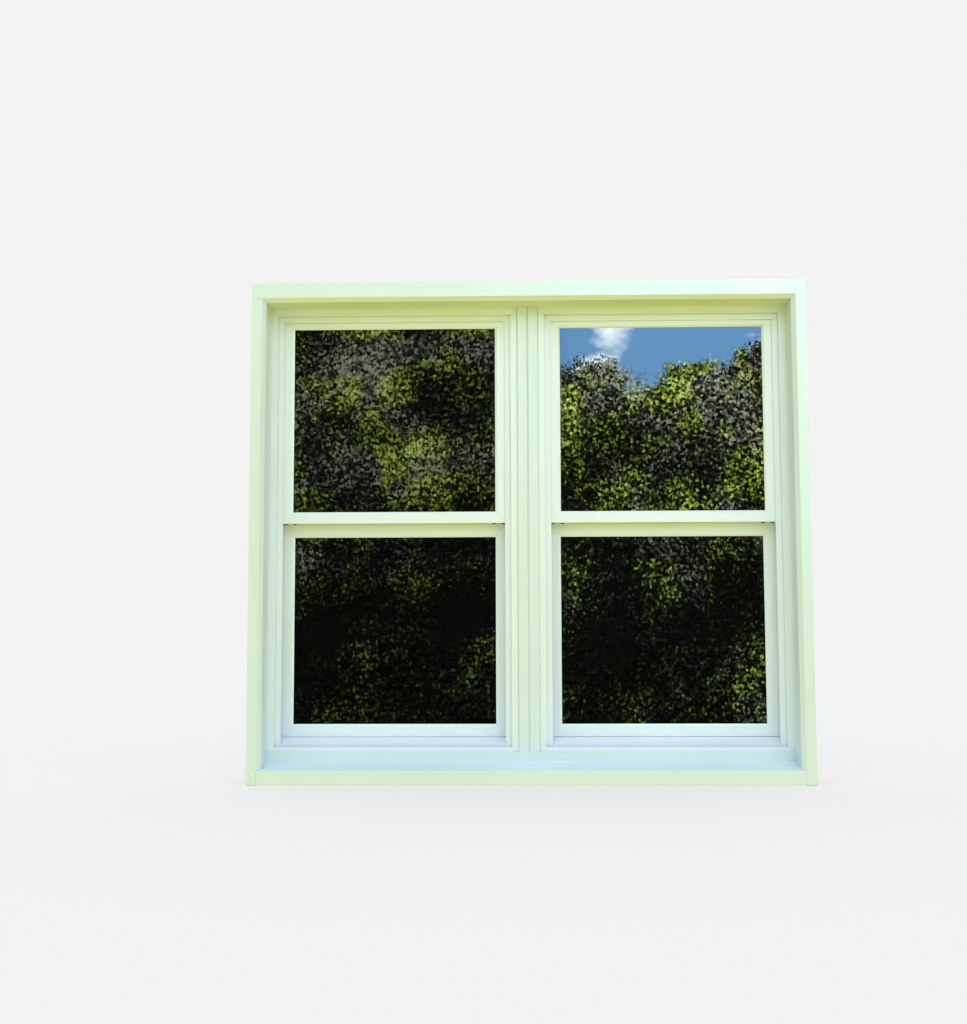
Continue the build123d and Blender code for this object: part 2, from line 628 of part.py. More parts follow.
def unit_pieces():
    """Pieces of one unit, centred on X, by name."""
    pieces = {"unit_frame": unit_frame(), "keeper": keeper(), "lock_base": lock_base(), "lock_lever": lock_lever()}
    for which in ("upper", "lower"):
        pieces[which + "_sash"] = sash(which)
        pieces[which + "_glass"] = glass(which)
        pieces[which + "_spacer"] = spacer(which)
        pieces[which + "_beads"] = beads(which)
        pieces[which + "_shoes"] = pair(shoe, which)
        pieces[which + "_tapes"] = pair(tape, which)
        pieces[which + "_pivot_bars"] = pair(pivot_bar, which)
        for hand, side in (("left", -1), ("right", 1)):
            pieces[which + "_latch_" + hand] = latch(which, side)
    return pieces


def write(name, shapes):
    shapes = shapes if isinstance(shapes, list) else [shapes]
    solids = [solid for shape in shapes for solid in (HOME * shape).solids()]
    export_step(solids[0] if len(solids) == 1 else Compound(children=solids), "parts/" + name + ".step")


shared = {
    "head_cap": head_cap(),
    "right_jamb_cap": jamb_cap(),
    "left_jamb_cap": mirrored(jamb_cap()),
    "sill_cap": sill_cap(),
    "mull_cap": mull_cap(),
    "head_casing": head_casing(),
    "right_jamb_casing": jamb_casing(),
    "left_jamb_casing": mirrored(jamb_casing()),
    "head_board": head_board(),
    "right_jamb_board": jamb_board(),
    "left_jamb_board": mirrored(jamb_board()),
    "sill_board": sill_board(),
    "mull_post": mull_post(),
    "frame_screws": frame_screws(),
    "balance_coils": [Pos(unit * UNIT_X, 0, 0) * coil(which, side)
                      for unit in (-1, 1) for which in ("upper", "lower") for side in (-1, 1)],
}
for name, shape in shared.items():
    write(name, shape)
for name, shape in unit_pieces().items():
    for hand, unit in (("left", -1), ("right", 1)):
        parts = shape if isinstance(shape, list) else [shape]
        write(hand + "_" + name, [Pos(unit * UNIT_X, 0, 0) * piece for piece in parts])
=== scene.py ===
import math
import bpy
from mathutils import Matrix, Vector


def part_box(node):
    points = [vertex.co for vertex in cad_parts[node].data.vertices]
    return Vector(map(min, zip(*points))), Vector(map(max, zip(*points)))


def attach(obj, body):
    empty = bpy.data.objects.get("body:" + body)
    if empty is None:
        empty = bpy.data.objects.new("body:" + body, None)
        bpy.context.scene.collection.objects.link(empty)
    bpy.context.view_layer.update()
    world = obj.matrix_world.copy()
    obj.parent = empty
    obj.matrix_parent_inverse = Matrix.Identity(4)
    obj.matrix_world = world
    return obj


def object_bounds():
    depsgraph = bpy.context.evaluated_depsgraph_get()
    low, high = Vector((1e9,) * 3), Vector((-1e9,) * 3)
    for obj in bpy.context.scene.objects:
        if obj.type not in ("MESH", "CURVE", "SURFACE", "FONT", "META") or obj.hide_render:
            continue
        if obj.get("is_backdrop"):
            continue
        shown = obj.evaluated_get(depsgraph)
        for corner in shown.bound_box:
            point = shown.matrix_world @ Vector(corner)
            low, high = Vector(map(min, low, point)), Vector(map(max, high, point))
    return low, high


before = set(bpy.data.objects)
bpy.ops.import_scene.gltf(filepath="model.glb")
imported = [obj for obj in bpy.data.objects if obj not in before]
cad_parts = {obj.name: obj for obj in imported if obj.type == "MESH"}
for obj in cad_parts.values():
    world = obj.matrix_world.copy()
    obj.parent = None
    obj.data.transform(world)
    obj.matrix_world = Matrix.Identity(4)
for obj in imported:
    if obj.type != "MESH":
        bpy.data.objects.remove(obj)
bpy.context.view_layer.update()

# The carcass: casing boards, jambs, head, sill and centre post in planed softwood,
# glued and nailed together. Only its back, sides and ends show once the metal is on.
BOARD_COLOUR = (0.62, 0.43, 0.24)
LATE_WOOD = (0.42, 0.24, 0.11)
KNOT_COLOUR = (0.16, 0.075, 0.03)
GRAIN_STRETCH, KNOT_STRETCH, RINGS, KNOTS = 0.06, 0.45, 75, 4.2
FIBRE_STOPS = [(0.3, (0.6, 0.6, 0.6)), (0.7, (1, 1, 1))]
KNOT_STOPS = [(0.0, (1, 1, 1)), (0.035, (0.9, 0.9, 0.9)), (0.06, (0, 0, 0))]
PAINT = {}


def maker(tree):
    """A short way to add nodes to a tree."""
    def node(kind, **settings):
        made = tree.nodes.new("ShaderNode" + kind)
        for key, value in settings.items():
            setattr(made, key, value)
        return made

    return node


def shader(name):
    """A fresh material with its node tree, its main shader and a maker of nodes."""
    paint = bpy.data.materials.new(name)
    paint.use_nodes = True
    tree = paint.node_tree
    PAINT[name] = paint
    return paint, tree.links.new, tree.nodes["Principled BSDF"], maker(tree)


def feed(link, socket, value):
    """Link a socket into another, or set it to a colour or a number."""
    if isinstance(value, bpy.types.NodeSocket):
        link(value, socket)
    else:
        socket.default_value = (*value, 1) if isinstance(value, tuple) else value


def maths(node, link, operation, *values):
    made = node("Math", operation=operation)
    for socket, value in zip(made.inputs, values):
        feed(link, socket, value)
    return made.outputs[0]


def bump(node, strength, distance, **settings):
    made = node("Bump", **settings)
    made.inputs["Strength"].default_value = strength
    made.inputs["Distance"].default_value = distance
    return made


def noise_at(node, link, place, scale, detail, stretch=(1, 1, 1)):
    """Noise on the object's own metres, stretched along its grain."""
    room = node("Mapping")
    room.inputs["Scale"].default_value = stretch
    link(place, room.inputs["Vector"])
    grain = node("TexNoise")
    grain.inputs["Scale"].default_value = scale
    grain.inputs["Detail"].default_value = detail
    link(room.outputs["Vector"], grain.inputs["Vector"])
    return grain.outputs["Fac"]


def ramp(node, link, fac, stops):
    """Colour ramp through (place, colour) stops."""
    made = node("ValToRGB")
    marks = made.color_ramp.elements
    for mark, (place, colour) in zip(marks, (stops[0], stops[-1])):
        mark.position, mark.color = place, (*colour, 1)
    for place, colour in stops[1:-1]:
        marks.new(place).color = (*colour, 1)
    link(fac, made.inputs["Fac"])
    return made.outputs["Color"]


def mix(node, link, fac, first, second, blend="MIX"):
    made = node("Mix", data_type="RGBA", blend_type=blend)
    for socket, value in ((made.inputs[0], fac), (made.inputs[6], first), (made.inputs[7], second)):
        feed(link, socket, value)
    return made.outputs[2]


def softwood(name, along):
    """Planed pine: rings drawn out along the board, with a few knots."""
    paint, link, main, node = shader(name)
    place = node("TexCoord").outputs["Object"]
    stretch = tuple(GRAIN_STRETCH if axis == along else 1 for axis in range(3))
    drift = noise_at(node, link, place, 30, 3, stretch)
    rings = maths(node, link, "SINE", maths(node, link, "MULTIPLY", drift, RINGS))
    wood = ramp(node, link, rings, [(0.0, BOARD_COLOUR), (0.7, BOARD_COLOUR), (1.0, LATE_WOOD)])
    fibre = noise_at(node, link, place, 900, 4, stretch)
    wood = mix(node, link, 0.25, wood, ramp(node, link, fibre, FIBRE_STOPS), "MULTIPLY")
    spots = node("TexVoronoi")
    spots.inputs["Scale"].default_value = KNOTS
    room = node("Mapping")
    room.inputs["Scale"].default_value = tuple(KNOT_STRETCH if axis == along else 1 for axis in range(3))
    link(place, room.inputs["Vector"])
    link(room.outputs["Vector"], spots.inputs["Vector"])
    knot = ramp(node, link, spots.outputs["Distance"], KNOT_STOPS)
    wood = mix(node, link, knot, wood, KNOT_COLOUR)
    link(wood, main.inputs["Base Color"])
    main.inputs["Roughness"].default_value = 0.62
    relief = bump(node, 0.25, 0.0004)
    link(fibre, relief.inputs["Height"])
    link(relief.outputs["Normal"], main.inputs["Normal"])
    return paint


def dress(node_name, paint):
    """Give a CAD piece its finish."""
    piece = bpy.data.objects[node_name]
    piece.data.materials.clear()
    piece.data.materials.append(paint)
    return piece


ACROSS, UP = 0, 2
for board in ("head_casing", "head_board", "sill_board"):
    dress(board, PAINT.get("pine_across") or softwood("pine_across", ACROSS))
for board in ("left_jamb_casing", "right_jamb_casing", "left_jamb_board", "right_jamb_board", "mull_post"):
    dress(board, PAINT.get("pine_up") or softwood("pine_up", UP))

# The capping: white enamelled aluminium coil, folded on a brake to the casing's shape and
# nailed over the carcass. Thin sheet never lies dead flat, so it ripples faintly.
ENAMEL = (0.65, 0.75, 0.785)
# One colour for both the random dust specks and the painted shade in corners and hollows.
DUST_AND_SHADE = (0.30, 0.33, 0.24)


def white_finish(name, colour, rough, ripple, ripple_scale, texture, corner_shade=0.35, edge=0.0006):
    """White skin: broad ripple, fine texture, dust specks, painted shade darkening the corners, softened
    arrises.
    """
    paint, link, main, node = shader(name)
    place = node("TexCoord").outputs["Object"]
    cloud = noise_at(node, link, place, 5, 3)
    tone = ramp(node, link, cloud, [(0.3, tuple(0.965 * c for c in colour)), (0.7, colour)])
    specks = noise_at(node, link, place, 420, 2)
    dusty = ramp(node, link, specks, [(0.66, (0, 0, 0)), (0.80, (0.10, 0.10, 0.10))])
    tone = mix(node, link, dusty, tone, DUST_AND_SHADE)
    # Painted shade: where the AO mask finds corners and hollows, the colour darkens as if shade fell
    # there.
    nook = node("AmbientOcclusion", samples=6)
    nook.inputs["Distance"].default_value = 0.007
    depth = ramp(node, link, nook.outputs["AO"], [(0.25, (corner_shade, corner_shade, corner_shade)), (0.75, (0, 0, 0))])
    link(mix(node, link, depth, tone, DUST_AND_SHADE), main.inputs["Base Color"])
    main.inputs["Roughness"].default_value = rough
    main.inputs["IOR"].default_value = 1.47
    soft = node("Bevel", samples=4)
    soft.inputs["Radius"].default_value = edge
    wide = bump(node, 1.0, ripple)
    link(noise_at(node, link, place, ripple_scale, 1), wide.inputs["Height"])
    link(soft.outputs["Normal"], wide.inputs["Normal"])
    fine = bump(node, 0.35, texture)
    link(noise_at(node, link, place, 1500, 2), fine.inputs["Height"])
    link(wide.outputs["Normal"], fine.inputs["Normal"])
    link(fine.outputs["Normal"], main.inputs["Normal"])
    return paint


enamel = white_finish("enamel", ENAMEL, 0.34, 0.0012, 7, 0.00008)
for cap in ("head_cap", "left_jamb_cap", "right_jamb_cap", "sill_cap", "mull_cap"):
    dress(cap, enamel)

# Sealant: a thin tooled bead of white silicone run by gun round each master frame, where the
# vinyl meets the metal of the reveals, the head and the centre strip.
BEAD = 0.0028
SEALANT = (0.70, 0.80, 0.72)


def mesh_piece(name, points, faces, paint, body):
    """A visual piece from its points and faces, riding on a body."""
    data = bpy.data.meshes.new(name)
    data.from_pydata(points, [], faces)
    data.materials.append(paint)
    piece = bpy.data.objects.new(name, data)
    bpy.context.collection.objects.link(piece)
    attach(piece, body)
    return piece


def prism(name, section, axis, start, end, paint, body, slot):
    """A straight bar: section points lie in the two other axes, in order x, y, z."""
    others = [n for n in range(3) if n != axis]
    points = []
    for along in (start, end):
        for pair in section:
            spot = [0.0, 0.0, 0.0]
            spot[axis] = along
            for n, value in zip(others, pair):
                spot[n] = value
            points.append(spot)
    count = len(section)
    faces = [(n, (n + 1) % count, (n + 1) % count + count, n + count) for n in range(count)]
    faces += [tuple(range(count - 1, -1, -1)), tuple(range(count, 2 * count))]
    piece = mesh_piece(name, points, faces, paint, body)
    area = sum(a[0] * b[1] - b[0] * a[1] for a, b in zip(section, section[1:] + section[:1]))
    if (area < 0) != (axis == 1):
        piece.data.flip_normals()
    piece.data.update()
    return piece


def fillet_section(u, v, du, dv, steps=5):
    """Hollow quarter round in the corner at (u, v), opening towards (du, dv)."""
    arc = [math.pi / 2 * n / steps for n in range(steps + 1)]
    return [(u, v)] + [(u + du * BEAD * (1 - math.cos(a)), v + dv * BEAD * (1 - math.sin(a))) for a in arc]


sealant = white_finish("sealant", SEALANT, 0.5, 0.0004, 60, 0.0001)
HANDS = ("left", "right")
reveal_x, post_x = -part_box("left_jamb_cap")[1].x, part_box("mull_cap")[1].x
soffit_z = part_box("head_cap")[0].z
face_y, sill_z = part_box("left_unit_frame")[0].y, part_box("sill_cap")[1].z
for side, hand in ((-1, "left"), (1, "right")):
    for spot, x, out in (("reveal", side * reveal_x, -side), ("post", side * post_x, side)):
        corner = fillet_section(x, face_y, out, -1)
        prism(f"{hand}_{spot}_bead", corner, 2, sill_z, soffit_z, sealant, "frame", "vinyl")
    corner = fillet_section(face_y, soffit_z, -1, -1)
    ends = sorted((side * post_x, side * reveal_x))
    prism(f"{hand}_head_bead", corner, 0, *ends, sealant, "frame", "vinyl")

# The seams of the metal: hairlines where the head piece laps the side pieces and where the sill piece
# butts between them, each a thin dark strip laid on the face as painted shadow of the joint.
SEAM, SEAM_PROUD, SILL_FRONT = 0.0005, 0.00003, 0.038
# Painted shadow: a near-black strip standing a hair proud of the capping's face.
seam_shadow = white_finish("seam_shadow", (0.17, 0.19, 0.15), 0.8, 0.0001, 60, 0.00005)
cap_front, cap_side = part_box("head_cap")[0].y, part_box("head_cap")[1].x
lap_z, butt_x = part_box("left_jamb_cap")[1].z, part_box("sill_cap")[1].x
for side, hand in ((-1, "left"), (1, "right")):
    for name, x0, x1, z0, z1 in (("lap", butt_x, cap_side, lap_z - SEAM / 2, lap_z + SEAM / 2),
                                 ("butt", butt_x - SEAM / 2, butt_x + SEAM / 2, 0.0, SILL_FRONT)):
        section = [(side * x0, z0), (side * x1, z0), (side * x1, z1), (side * x0, z1)]
        prism(f"{hand}_{name}_seam", section, 1, cap_front - SEAM_PROUD, cap_front + SEAM,
              seam_shadow, "frame", "capping")

# Master frames and sashes: white vinyl extrusions, mitred, then fusion-welded at the corners.
# The weld's squeezed-out vinyl is knifed off, which leaves a fine groove on every mitre.
VINYL = (0.735, 0.81, 0.89)
WELD_HALF, WELD_SHADE = 0.0003, (0.60, 0.68, 0.64)


def weld_lines(node, link, place, low, high, side, bottom, top):
    """1 on the mitres of a welded rectangle whose bars are side, bottom and top wide."""
    split = node("SeparateXYZ")
    link(place, split.inputs[0])

    def sum_of(operation, first, second=0.0):
        return maths(node, link, operation, first, second)

    from_left = sum_of("SUBTRACT", split.outputs["X"], low.x)
    from_right = sum_of("SUBTRACT", high.x, split.outputs["X"])
    across = sum_of("MINIMUM", from_left, from_right)
    total = 0.0
    for reach, up in ((bottom, sum_of("SUBTRACT", split.outputs["Z"], low.z)),
                      (top, sum_of("SUBTRACT", high.z, split.outputs["Z"]))):
        off = sum_of("ABSOLUTE", sum_of("SUBTRACT", across, sum_of("MULTIPLY", up, side / reach)))
        line = sum_of("LESS_THAN", off, WELD_HALF)
        near = sum_of("LESS_THAN", across, side)
        line = sum_of("MULTIPLY", line, near)
        total = sum_of("ADD", line, total)
    return total


def welded_vinyl(name, low, high, side, bottom, top):
    """The vinyl finish with the weld grooves of one frame or sash."""
    paint = white_finish(name, VINYL, 0.38, 0.0004, 14, 0.00005, corner_shade=0.45)
    tree = paint.node_tree
    main, node, link = tree.nodes["Principled BSDF"], maker(tree), tree.links.new
    place = node("TexCoord").outputs["Object"]
    line = weld_lines(node, link, place, low, high, side, bottom, top)
    old = main.inputs["Base Color"].links[0].from_socket
    link(mix(node, link, line, old, WELD_SHADE), main.inputs["Base Color"])
    groove = bump(node, 0.6, 0.0004, invert=True)
    link(line, groove.inputs["Height"])
    link(main.inputs["Normal"].links[0].from_socket, groove.inputs["Normal"])
    link(groove.outputs["Normal"], main.inputs["Normal"])
    return paint


FRAME_BAR, STILE = 0.025, 0.0365
RAILS = {"upper": (0.0315, 0.028), "lower": (0.0345, 0.064)}
bead_vinyl = white_finish("bead_vinyl", VINYL, 0.36, 0.0003, 18, 0.00005, corner_shade=0.45)
for hand in HANDS:
    low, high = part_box(hand + "_unit_frame")
    bars = (FRAME_BAR, FRAME_BAR, FRAME_BAR)
    dress(hand + "_unit_frame", welded_vinyl(hand + "_frame_vinyl", low, high, *bars))
    for level, (bottom, top) in RAILS.items():
        name = f"{hand}_{level}_sash"
        low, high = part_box(name)
        dress(name, welded_vinyl(name + "_vinyl", low, high, STILE, bottom, top))
        dress(f"{hand}_{level}_beads", bead_vinyl)

# Corner fill: on a real sash the weld closes the corners behind the outer lip. Where a wide rail
# meets a narrow stile the solids leave a three-cornered gap there, which these wedges fill.
GLASS_BITE, LIP_DEPTH, SASH_DEPTH, FLUSH = 0.012, 0.005, 0.032, 0.00003
for hand in HANDS:
    for level, (bottom, top) in RAILS.items():
        name = f"{hand}_{level}_sash"
        low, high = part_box(name)
        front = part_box(f"{hand}_{level}_glass")[0].y
        near_wall, back = STILE - GLASS_BITE, front + SASH_DEPTH - LIP_DEPTH - FLUSH
        for x, sense_x, tag in ((low.x, 1, "left"), (high.x, -1, "right")):
            for z, sense_z, rail, end in ((low.z, 1, bottom, "low"), (high.z, -1, top, "high")):
                if level == "lower" and end == "high":
                    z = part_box(f"{hand}_lock_base")[0].z
                slope, wall = rail / STILE, rail - GLASS_BITE
                corners = [(near_wall, slope * near_wall), (near_wall, wall), (wall / slope, wall)]
                section = [(x + sense_x * u, z + sense_z * v) for u, v in corners]
                prism(f"{name}_{end}_{tag}_corner", section, 1, front, back, bead_vinyl, name, "vinyl")

# Sealed glass: two clear panes with a low-emissivity coat, tinted near black as painted shade for the dark
# room behind, so the pair looks dark and mirror-like by day. Float glass is never quite flat, so what it
# mirrors swims a little.
GLASS_ROOM_SHADE, GLASS_IOR = (0.028, 0.031, 0.028), 1.62


def float_glass():
    """Clear glass tinted near black, painted shade for the room behind, with a slight roll."""
    paint, link, main, node = shader("float_glass")
    place = node("TexCoord").outputs["Object"]
    # Painted shade: the near-black base colour stands in for the unlit room behind the panes.
    main.inputs["Base Color"].default_value = (*GLASS_ROOM_SHADE, 1)
    main.inputs["Transmission Weight"].default_value = 1.0
    main.inputs["Roughness"].default_value = 0.0
    main.inputs["IOR"].default_value = GLASS_IOR
    wave = bump(node, 0.12, 0.0006)
    link(noise_at(node, link, place, 6, 1), wave.inputs["Height"])
    link(wave.outputs["Normal"], main.inputs["Normal"])
    return paint


def brushed(name, colour, rough, scale=700, stretch=(0.05, 1, 1)):
    """Rolled or brushed bare metal with fine lines and a few dull patches."""
    paint, link, main, node = shader(name)
    place = node("TexCoord").outputs["Object"]
    lines = noise_at(node, link, place, scale, 3, stretch)
    dull = noise_at(node, link, place, 35, 3)
    tone = ramp(node, link, dull, [(0.35, tuple(0.78 * c for c in colour)), (0.65, colour)])
    link(tone, main.inputs["Base Color"])
    sheen = ramp(node, link, lines, [(0.3, (rough - 0.08,) * 3), (0.7, (rough + 0.1,) * 3)])
    link(sheen, main.inputs["Roughness"])
    main.inputs["Metallic"].default_value = 1.0
    relief = bump(node, 0.3, 0.00006)
    link(lines, relief.inputs["Height"])
    link(relief.outputs["Normal"], main.inputs["Normal"])
    return paint


glass_paint = float_glass()
spacer_paint = brushed("spacer_metal", (0.50, 0.51, 0.52), 0.35)
for hand in HANDS:
    for level in ("upper", "lower"):
        dress(f"{hand}_{level}_glass", glass_paint)
        dress(f"{hand}_{level}_spacer", spacer_paint)

# Balances and pivots in the jamb pockets: moulded shoes and coil housings, bright spring tapes,
# and zinc-plated bars screwed up into the sashes' lower corners.
MOULDED, ZINC = (0.60, 0.61, 0.58), (0.60, 0.61, 0.60)


def moulding(name, colour, rough, grain):
    """Moulded plastic: faint flow marks, a fine spark-eroded grain, softened arrises."""
    return white_finish(name, colour, rough, 0.0002, 40, grain, corner_shade=0.5, edge=0.0008)


shoe_paint = moulding("moulded_hardware", MOULDED, 0.45, 0.00008)
tape_paint = brushed("spring_steel", (0.58, 0.58, 0.56), 0.28, 900, (1, 1, 0.04))
zinc_paint = brushed("zinc_plate", ZINC, 0.4)
dress("balance_coils", shoe_paint)
dress("frame_screws", zinc_paint)
for hand in HANDS:
    for level in ("upper", "lower"):
        dress(f"{hand}_{level}_shoes", shoe_paint)
        dress(f"{hand}_{level}_tapes", tape_paint)
        dress(f"{hand}_{level}_pivot_bars", zinc_paint)

# Latches and locks: glossy white nylon bolts let into the sashes' top rails, and enamelled
# zinc castings on the check rails, each held by two small cross-slot screws.
LATCH_WHITE, CASTING = (0.78, 0.86, 0.81), (0.76, 0.84, 0.79)
latch_paint = moulding("latch_nylon", LATCH_WHITE, 0.24, 0.00003)
casting_paint = moulding("enamelled_casting", CASTING, 0.3, 0.00012)
slot_paint = white_finish("slot_shadow", (0.02, 0.02, 0.02), 0.8, 0.0001, 60, 0.00005)
HEAD_R, HEAD_H, SLOT_L, SLOT_T, SLOT_PROUD = 0.0031, 0.0016, 0.0036, 0.0007, 0.00005
HEAD_SIDES, LOCK_SCREW_OUT, LOCK_SCREW_IN = 20, 0.0225, 0.0065


def screw_head(name, spot, axis, sense, body, paint=None, size=1.0):
    """A low domed head with a cross slot, seated on a face that looks along the axis."""
    paint, radius_out, top = paint or zinc_paint, size * HEAD_R, size * HEAD_H
    rings = [(radius_out, 0.0), (radius_out, 0.3 * top),
             (0.82 * radius_out, 0.8 * top), (0.45 * radius_out, top)]
    others = [n for n in range(3) if n != axis]
    count, points, faces = HEAD_SIDES, [], []
    for radius, rise in rings:
        for n in range(count):
            place = list(spot)
            place[others[0]] += radius * math.cos(math.tau * n / count)
            place[others[1]] += radius * math.sin(math.tau * n / count)
            place[axis] += sense * rise
            points.append(place)
    for ring in range(len(rings) - 1):
        for n in range(count):
            a, b = ring * count + n, ring * count + (n + 1) % count
            faces.append((a, b, b + count, a + count))
    faces += [tuple(range(count - 1, -1, -1)), tuple(range(len(points) - count, len(points)))]
    flip = (sense < 0) != (axis == 1)
    faces = [face[::-1] for face in faces] if flip else faces
    head = mesh_piece(name, points, faces, paint, body)
    for face in head.data.polygons[:-2]:
        face.use_smooth = True
    for turn, (long, short) in enumerate(((SLOT_L, SLOT_T), (SLOT_T, SLOT_L))):
        low, high = list(spot), list(spot)
        for n, half in zip(others, (size * long / 2, size * short / 2)):
            low[n], high[n] = spot[n] - half, spot[n] + half
        low[axis], high[axis] = sorted((spot[axis], spot[axis] + sense * (top + SLOT_PROUD)))
        block = [(low[others[0]], low[others[1]]), (high[others[0]], low[others[1]]),
                 (high[others[0]], high[others[1]]), (low[others[0]], high[others[1]])]
        prism(f"{name}_slot_{turn}", block, axis, low[axis], high[axis], slot_paint, body, "plated_steel")


for hand in HANDS:
    for level in ("upper", "lower"):
        for side in HANDS:
            dress(f"{hand}_{level}_latch_{side}", latch_paint)
    for piece in ("lock_base", "lock_lever", "keeper"):
        dress(f"{hand}_{piece}", casting_paint)
    low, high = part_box(hand + "_lock_base")
    middle = (low.x + high.x) / 2
    for side in (-1, 1):
        spot = (middle + side * LOCK_SCREW_OUT, high.y - LOCK_SCREW_IN, high.z)
        screw_head(f"{hand}_lock_screw_{(side + 1) // 2}", spot, 2, 1, hand + "_lower_sash")

# Pivot-bar screws: blackened pan heads that hang just under each upper sash's lower corners,
# two to a corner, driven up through the rail into the bar that the sash tilts on.
PIVOT_FROM_EDGE, PAN_SIZE = (0.015, 0.0405), 1.5
black_oxide = brushed("black_oxide", (0.035, 0.035, 0.035), 0.45)
for hand in HANDS:
    low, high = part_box(hand + "_upper_sash")
    middle = (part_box(hand + "_upper_pivot_bars")[0].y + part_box(hand + "_upper_pivot_bars")[1].y) / 2
    for side, edge in ((1, low.x), (-1, high.x)):
        for number, inset in enumerate(PIVOT_FROM_EDGE):
            name = f"{hand}_pivot_screw_{'left' if side > 0 else 'right'}_{number}"
            spot = (edge + side * inset, middle, low.z)
            screw_head(name, spot, 2, -1, hand + "_upper_sash", black_oxide, PAN_SIZE)

# The floor and the light: a pale floor, an even light from above, a low greenish one from the
# ground, and a mottled card behind the camera for the glass to mirror.
FLOOR_SIZE, FLOOR_COLOUR, FLOOR_VEIL = 60, (0.72, 0.64, 0.60), 0.65
PALE = (0.90, 0.90, 0.89, 1)


def plane(name, corners, paint):
    """A flat piece of the stage, which is no part of the window."""
    data = bpy.data.meshes.new(name)
    data.from_pydata(corners, [], [(0, 1, 2, 3)])
    data.materials.append(paint)
    thing = bpy.data.objects.new(name, data)
    bpy.context.collection.objects.link(thing)
    thing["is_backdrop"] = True
    return thing


paint, link, main, node = shader("floor_paint")
main.inputs["Base Color"].default_value = (*FLOOR_COLOUR, 1)
main.inputs["Roughness"].default_value = 0.9
main.inputs["Specular IOR Level"].default_value = 0.0
glow = node("Emission")
glow.inputs["Color"].default_value = PALE
veil, rays, blend = node("Math", operation="MULTIPLY"), node("LightPath"), node("MixShader")
veil.inputs[1].default_value = FLOOR_VEIL
link(rays.outputs["Is Camera Ray"], veil.inputs[0])
link(veil.outputs[0], blend.inputs[0])
link(main.outputs[0], blend.inputs[1])
link(glow.outputs[0], blend.inputs[2])
surface = next(n for n in paint.node_tree.nodes if n.type == "OUTPUT_MATERIAL")
link(blend.outputs[0], surface.inputs[0])
half = FLOOR_SIZE / 2
floor = plane("floor", [(-half, -half, 0), (half, -half, 0), (half, half, 0), (-half, half, 0)], paint)
floor.visible_glossy = False
floor.visible_diffuse = False

CARD_Y, CARD_HALF, CARD_FOOT, CARD_TOP = -9.0, 13.0, -2, 9.0
CARD_GAIN, CARD_GAIN_MORE, LOW_DARK = 1.3, 1.7, 0.105
GREEN_STOPS = [(0.42, (0.005, 0.007, 0.004)), (0.49, (0.10, 0.14, 0.03)), (0.54, (0.65, 0.92, 0.12)),
               (0.60, (2.0, 2.6, 0.35)), (0.68, (4.5, 5.2, 1.8))]
GREY_STOPS = [(0.44, (0.005, 0.006, 0.004)), (0.51, (0.11, 0.12, 0.09)), (0.56, (0.5, 0.56, 0.38)),
              (0.66, (2.2, 2.4, 1.8))]
BLUE_STOPS = [(0.48, (0.72, 1.7, 3.1)), (0.58, (5.5, 6.2, 6.6))]
paint, link, main, node = shader("card_paint")
place = node("TexCoord").outputs["Object"]
split = node("SeparateXYZ")
link(place, split.inputs[0])


def card_sum(operation, *values):
    return maths(node, link, operation, *values)


def ease(value, start, end):
    """0 at the start, 1 at the end."""
    made = node("MapRange")
    made.inputs["From Min"].default_value = start
    made.inputs["From Max"].default_value = end
    link(value, made.inputs["Value"])
    return made.outputs[0]


broad_mottle = noise_at(node, link, place, 1.2, 3)
fine_mottle = noise_at(node, link, place, 42, 5, (1, 1, 0.8))
low_dark = card_sum("MULTIPLY", ease(split.outputs["Z"], 1.75, 0.6), LOW_DARK)
cells = node("TexVoronoi")
cells.inputs["Scale"].default_value = 36
link(place, cells.inputs["Vector"])
facet = node("SeparateColor")
link(cells.outputs["Color"], facet.inputs[0])
mottle_level = card_sum("SUBTRACT", card_sum("MULTIPLY", broad_mottle, 0.42), low_dark)
for layer, weight in ((fine_mottle, 0.40), (facet.outputs[0], 0.18)):
    mottle_level = card_sum("ADD", card_sum("MULTIPLY", layer, weight), mottle_level)
patches = noise_at(node, link, place, 2.6, 2)
warm_patch = ramp(node, link, patches, [(0.42, (0, 0, 0)), (0.58, (1, 1, 1))])
grey, green = (ramp(node, link, mottle_level, stops) for stops in (GREY_STOPS, GREEN_STOPS))
mottle = mix(node, link, warm_patch, grey, green)
blue_patch = ramp(node, link, noise_at(node, link, place, 0.9, 5, (1, 1, 1.5)), BLUE_STOPS)
swell = card_sum("MULTIPLY", noise_at(node, link, place, 1.7, 3), 1.1)
ragged = card_sum("ADD", swell, card_sum("MULTIPLY", fine_mottle, 0.45))
line = card_sum("ADD", card_sum("MULTIPLY", ease(split.outputs["X"], 0.25, -0.6), 2.5), ragged)
above = ease(card_sum("SUBTRACT", split.outputs["Z"], line), 2.18, 2.24)
card_colour = mix(node, link, above, mottle, blue_patch)
main.inputs["Base Color"].default_value = (0, 0, 0, 1)
main.inputs["Specular IOR Level"].default_value = 0.0
link(card_colour, main.inputs["Emission Color"])
more = card_sum("MULTIPLY", ease(split.outputs["X"], -0.1, 0.5), CARD_GAIN_MORE)
link(card_sum("ADD", more, CARD_GAIN), main.inputs["Emission Strength"])
card = plane("card", [(-CARD_HALF, CARD_Y, CARD_FOOT), (CARD_HALF, CARD_Y, CARD_FOOT),
                      (CARD_HALF, CARD_Y, CARD_TOP), (-CARD_HALF, CARD_Y, CARD_TOP)], paint)
card.visible_camera = card.visible_diffuse = card.visible_transmission = card.visible_shadow = False

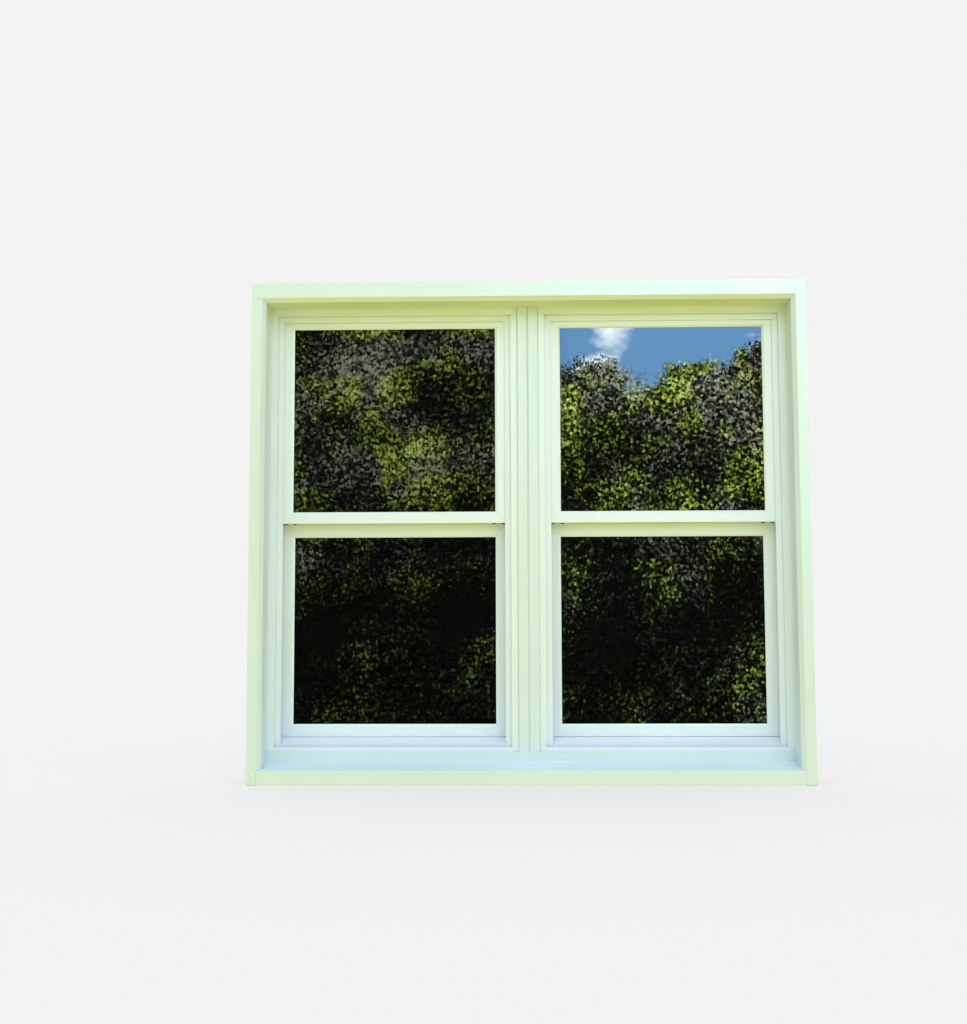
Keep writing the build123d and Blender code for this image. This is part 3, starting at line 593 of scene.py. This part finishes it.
# The light all round: what the lens, the glass and the gloss see is plain and pale, and what
# lights the window is graded from below to above, with one weak soft lamp from high in front.
LIGHT_STOPS = [(0.0, (1.35, 1.28, 0.08)), (0.42, (1.04, 1.02, 0.72)),
               (0.6, (0.90, 0.98, 1.02)), (1.0, (1.55, 1.86, 2.05))]
LIGHT_STRENGTH, LIGHT_FROM, LIGHT_TO = 0.83, -0.5, 0.6
LAMP_ENERGY, LAMP_SPREAD, LAMP_COLOUR, LAMP_TILT, LAMP_TURN = 0.15, 70, (0.97, 1.0, 1.04), 80, 8
world = bpy.data.worlds.new("surroundings")
bpy.context.scene.world = world
world.use_nodes = True
tree = world.node_tree
tree.nodes.clear()
link, node = tree.links.new, maker(tree)
rays = node("LightPath")
seen = node("Math", operation="MAXIMUM")
clear = node("Math", operation="MAXIMUM")
link(rays.outputs["Is Camera Ray"], seen.inputs[0])
link(rays.outputs["Is Glossy Ray"], seen.inputs[1])
link(seen.outputs[0], clear.inputs[0])
link(rays.outputs["Is Transmission Ray"], clear.inputs[1])
way = node("SeparateXYZ")
link(node("TexCoord").outputs["Generated"], way.inputs[0])
rise = node("MapRange")
rise.inputs["From Min"].default_value = LIGHT_FROM
rise.inputs["From Max"].default_value = LIGHT_TO
link(way.outputs["Z"], rise.inputs["Value"])
light = ramp(node, link, rise.outputs[0], LIGHT_STOPS)
back = node("Background")
link(light, back.inputs["Color"])
back.inputs["Strength"].default_value = LIGHT_STRENGTH
pale = node("Background")
pale.inputs["Color"].default_value = PALE
both = node("MixShader")
link(clear.outputs[0], both.inputs[0])
link(back.outputs[0], both.inputs[1])
link(pale.outputs[0], both.inputs[2])
link(both.outputs[0], node("OutputWorld").inputs["Surface"])

sun = bpy.data.objects.new("soft_sun", bpy.data.lights.new("soft_sun", "SUN"))
sun.data.energy, sun.data.angle, sun.data.color = LAMP_ENERGY, math.radians(LAMP_SPREAD), LAMP_COLOUR
sun.rotation_euler = (math.radians(LAMP_TILT), 0, math.radians(LAMP_TURN))
bpy.context.collection.objects.link(sun)

# The camera, placed by a fit to the edges of the four glasses and of the casing. It stands low
# in front of the window and looks slightly up, as the picture was taken.
SENSOR_W, PICTURE_W, PICTURE_H = 36, 967, 1024
LENS, PITCH, YAW, ROLL = 46.82, 5.141, 1.397, 0.150
EYE = (-0.034, -3.650, 0.404)
camera = bpy.data.objects.new("camera", bpy.data.cameras.new("camera"))
camera.data.lens, camera.data.sensor_width = LENS, SENSOR_W
turns = [Matrix.Rotation(math.radians(angle), 4, axis)
         for angle, axis in ((YAW, "Z"), (PITCH, "X"), (ROLL, "Y"), (90, "X"))]
camera.matrix_world = Matrix.Translation(EYE) @ turns[0] @ turns[1] @ turns[2] @ turns[3]
bpy.context.collection.objects.link(camera)
scene = bpy.context.scene
scene.camera = camera
scene.render.resolution_x, scene.render.resolution_y = PICTURE_W, PICTURE_H
scene.view_settings.view_transform = "Standard"
scene.render.engine = "CYCLES"

# The size: the box of the dressed window.
low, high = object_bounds()
